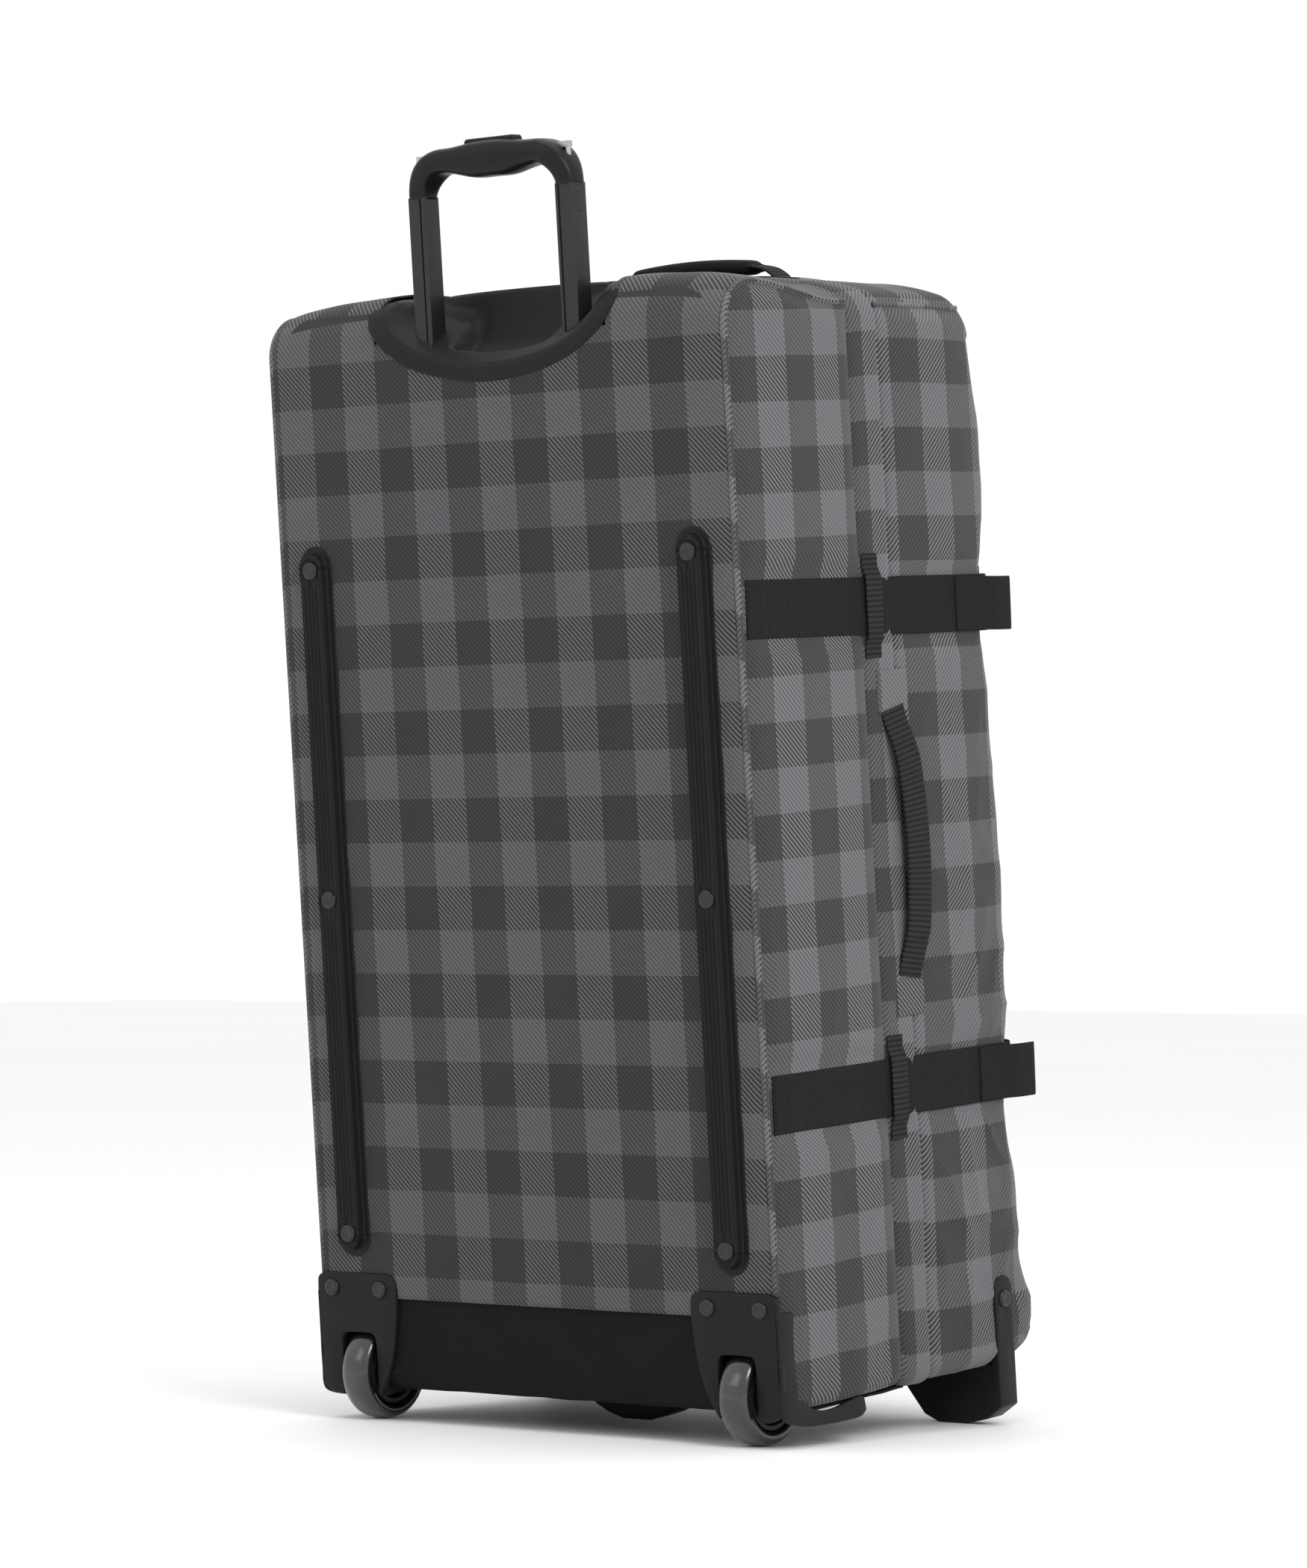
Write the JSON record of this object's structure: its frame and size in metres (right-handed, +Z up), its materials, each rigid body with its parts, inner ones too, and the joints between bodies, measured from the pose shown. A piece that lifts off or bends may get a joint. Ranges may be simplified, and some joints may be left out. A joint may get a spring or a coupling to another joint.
{
  "type": "wheeled travel bag",
  "caption": "Tall soft travel bag with a telescopic pull handle, rear wheels, front feet, skid rails and compression straps.",
  "frame": {"origin": "on the ground, under the middle of the object's outline", "axes": "+Z up, front (pockets) towards -Y, back panel and pull handle towards +Y, X across; the bag leans back 5 degrees"},
  "size_m": [0.417, 0.3748, 0.8747],
  "materials": {
    "check_cloth": "twill, woven check",
    "coated_cloth": "coated, fine weave",
    "board": "sheet",
    "black_moulding": "satin",
    "dark_rivets": "satin",
    "dark_tube": "anodised",
    "steel": "bright",
    "tyre": "glossy urethane",
    "hub": "moulded",
    "webbing": "ribbed",
    "padding": "padded",
    "zip_metal": "gun metal",
    "zip_tape": "coil"
  },
  "bodies": {
    "bag": {"handle_cup": "black_moulding", "back_panel": "check_cloth", "back_board": "board", "lower_panel": "coated_cloth", "rear_gusset": "check_cloth", "zip_band": "check_cloth", "front_shell": "check_cloth", "back_piping": "check_cloth", "base_board": "board", "tube_sleeves": "dark_tube", "sleeve_bracket": "black_moulding", "skid_rail_left": "black_moulding", "skid_rail_right": "black_moulding", "rail_rivets": "dark_rivets", "wheel_housing_left": "black_moulding", "wheel_housing_right": "black_moulding", "housing_rivets": "dark_rivets", "axles": "steel", "front_foot_left": "black_moulding", "front_foot_right": "black_moulding", "foot_rivets": "dark_rivets", "centre_skid": "black_moulding", "strap_upper_left": "webbing", "strap_upper_right": "webbing", "strap_lower_left": "webbing", "strap_lower_right": "webbing", "strap_corners": "webbing", "buckle_sockets": "black_moulding", "strap_loops": "webbing", "side_handle": "webbing", "carry_anchors": "webbing", "zip_track": "zip_tape"},
    "lid": {"front_lid": "check_cloth", "front_pocket_upper": "check_cloth", "front_pocket_lower": "check_cloth"},
    "handle": {"sliding_tubes": "dark_tube", "grip": "black_moulding", "grip_pins": "dark_rivets", "lock_plugs": "black_moulding"},
    "release": {"push_button": "black_moulding", "release_rods": "steel"},
    "carry_handle": {"carry_pad": "padding", "carry_webbing": "webbing"},
    "wheel_left": {"tyre_left": "tyre", "hub_left": "hub", "bearings_left": "steel"},
    "zip_left": {"zip_slider_left": "zip_metal"},
    "zip_pull_left": {"zip_pull_left": "zip_metal"},
    "plug_upper_left": {"buckle_plug_upper_left": "black_moulding"},
    "plug_lower_left": {"buckle_plug_lower_left": "black_moulding"},
    "wheel_right": {"tyre_right": "tyre", "hub_right": "hub", "bearings_right": "steel"},
    "zip_right": {"zip_slider_right": "zip_metal"},
    "zip_pull_right": {"zip_pull_right": "zip_metal"},
    "plug_upper_right": {"buckle_plug_upper_right": "black_moulding"},
    "plug_lower_right": {"buckle_plug_lower_right": "black_moulding"}
  },
  "joints": [
    {"name": "handle_slide", "type": "slide", "parent": "bag", "child": "handle", "axis": [0, 0.0872, 0.9962], "range_m": [-0.083, 0.227]},
    {"name": "button_press", "type": "slide", "parent": "handle", "child": "release", "axis": [0, -0.0872, -0.9962], "range_m": [0, 0.004], "stiffness_N_per_m": 400, "springref_m": -0.004},
    {"name": "lid_open", "type": "hinge", "parent": "bag", "child": "lid", "pos_m": [0, -0.16403, 0.10301], "axis": [1, 0, 0], "range_deg": [0, 100]},
    {"name": "carry_handle_swing", "type": "hinge", "parent": "bag", "child": "carry_handle", "pos_m": [0, -0.0455, 0.7923], "axis": [1, 0, 0], "range_deg": [-12, 12]},
    {"name": "wheel_left_spin", "type": "hinge", "parent": "bag", "child": "wheel_left", "pos_m": [0.167, 0.09695, 0.034], "axis": [1, 0, 0], "continuous": true},
    {"name": "zip_left_slide", "type": "slide", "parent": "bag", "child": "zip_left", "axis": [1, 0, 0], "range_m": [0, 0.12]},
    {"name": "zip_left_pull_swing", "type": "hinge", "parent": "zip_left", "child": "zip_pull_left", "pos_m": [0.019, 0.03427, 0.78622], "axis": [0, -0.9962, 0.0872], "range_deg": [0, 110]},
    {"name": "buckle_upper_left_pull", "type": "slide", "parent": "bag", "child": "plug_upper_left", "axis": [-1, 0, 0], "range_m": [0, 0.022]},
    {"name": "buckle_lower_left_pull", "type": "slide", "parent": "bag", "child": "plug_lower_left", "axis": [-1, 0, 0], "range_m": [0, 0.022]},
    {"name": "wheel_right_spin", "type": "hinge", "parent": "bag", "child": "wheel_right", "pos_m": [-0.167, 0.09695, 0.034], "axis": [1, 0, 0], "continuous": true},
    {"name": "zip_right_slide", "type": "slide", "parent": "bag", "child": "zip_right", "axis": [-1, 0, 0], "range_m": [0, 0.12]},
    {"name": "zip_right_pull_swing", "type": "hinge", "parent": "zip_right", "child": "zip_pull_right", "pos_m": [-0.019, 0.03427, 0.78622], "axis": [0, 0.9962, -0.0872], "range_deg": [0, 110]},
    {"name": "buckle_upper_right_pull", "type": "slide", "parent": "bag", "child": "plug_upper_right", "axis": [1, 0, 0], "range_m": [0, 0.022]},
    {"name": "buckle_lower_right_pull", "type": "slide", "parent": "bag", "child": "plug_lower_right", "axis": [1, 0, 0], "range_m": [0, 0.022]}
  ]
}
